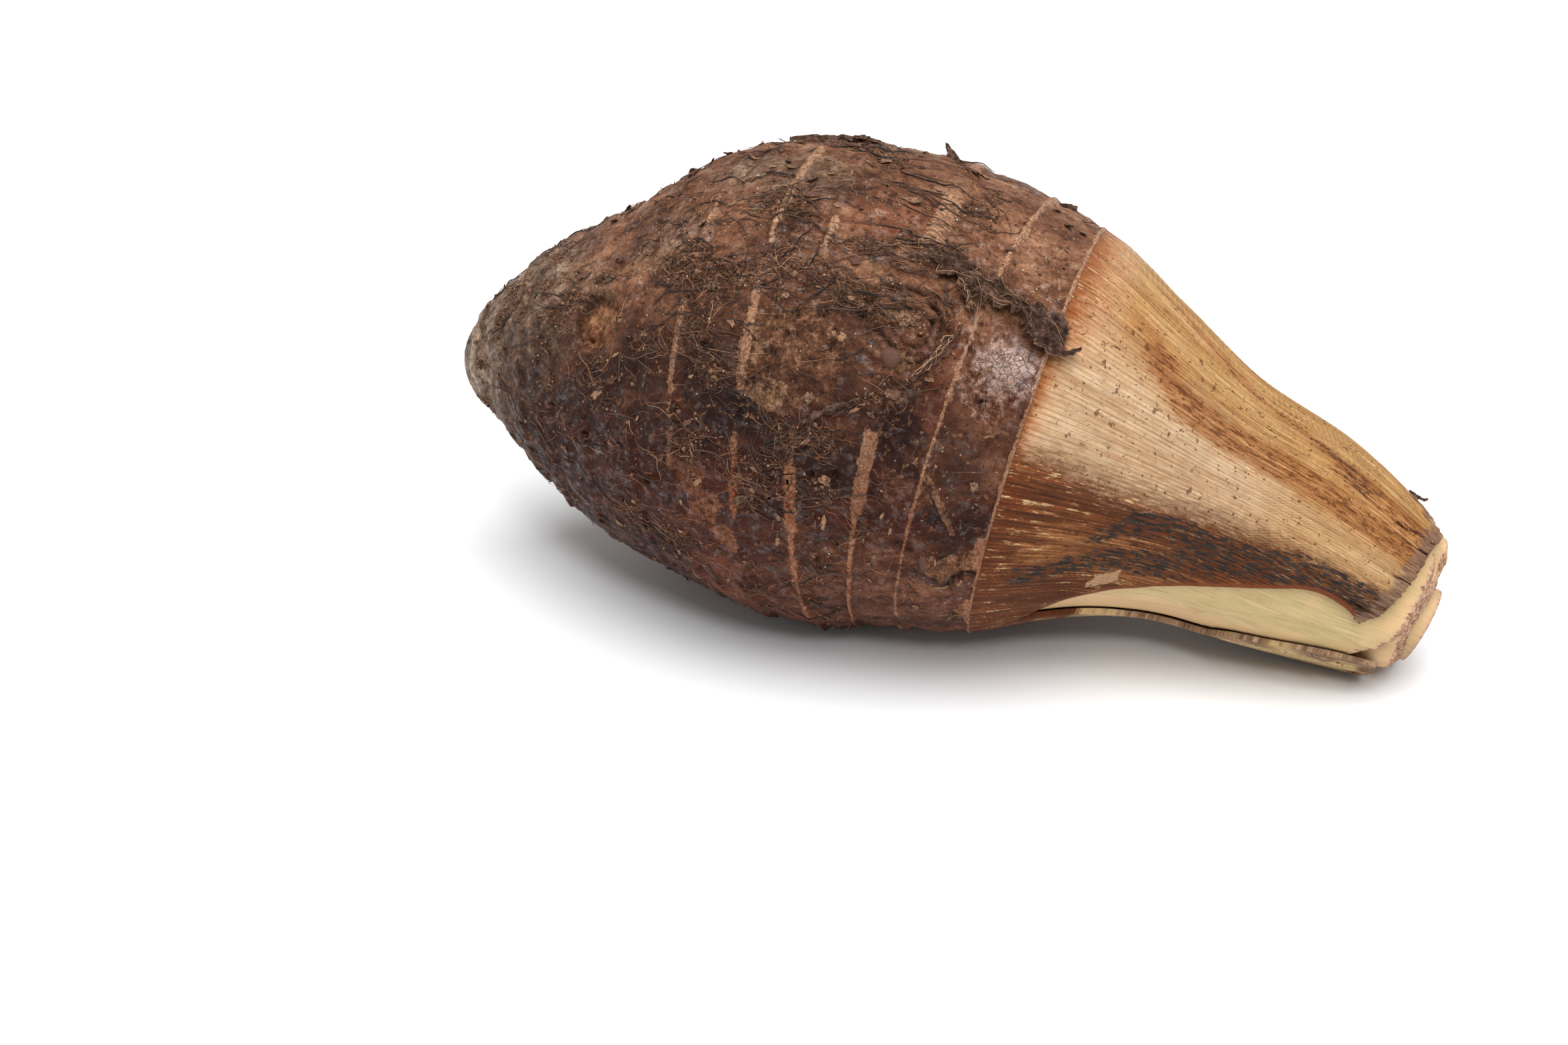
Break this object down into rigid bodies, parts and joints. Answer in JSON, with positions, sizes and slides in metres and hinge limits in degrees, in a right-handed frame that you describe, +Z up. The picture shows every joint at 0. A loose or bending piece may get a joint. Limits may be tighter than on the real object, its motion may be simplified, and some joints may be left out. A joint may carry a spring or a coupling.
{
  "type": "taro root",
  "caption": "Whole fresh taro root lying on its belly: a ringed brown corm that narrows to a neck of trimmed, layered leaf bases.",
  "frame": {"origin": "middle of the underside of the bounding box, level with the flat that the belly rests on", "axes": "+X along the root from its tail to the cut neck, +Z up, -Y the side with the eye and the opening of the outer leaf base"},
  "size_m": [0.2496, 0.1198, 0.1172],
  "materials": {
    "corm_skin": "rough bark-like skin with fibres",
    "dry_leaf_base": "dry, finely ribbed",
    "pale_leaf_base": "fresh, smooth and fleshy",
    "dry_husk": "dry, matted fibre"
  },
  "bodies": {
    "root": {"corm": "corm_skin", "leaf_base_outer": "dry_leaf_base", "leaf_base_pale": "pale_leaf_base", "leaf_base_third": "pale_leaf_base", "leaf_heart": "pale_leaf_base", "husk_strip": "dry_husk", "husk_flake": "dry_husk", "husk_thorn": "dry_husk", "husk_scrap": "dry_husk"}
  },
  "joints": []
}
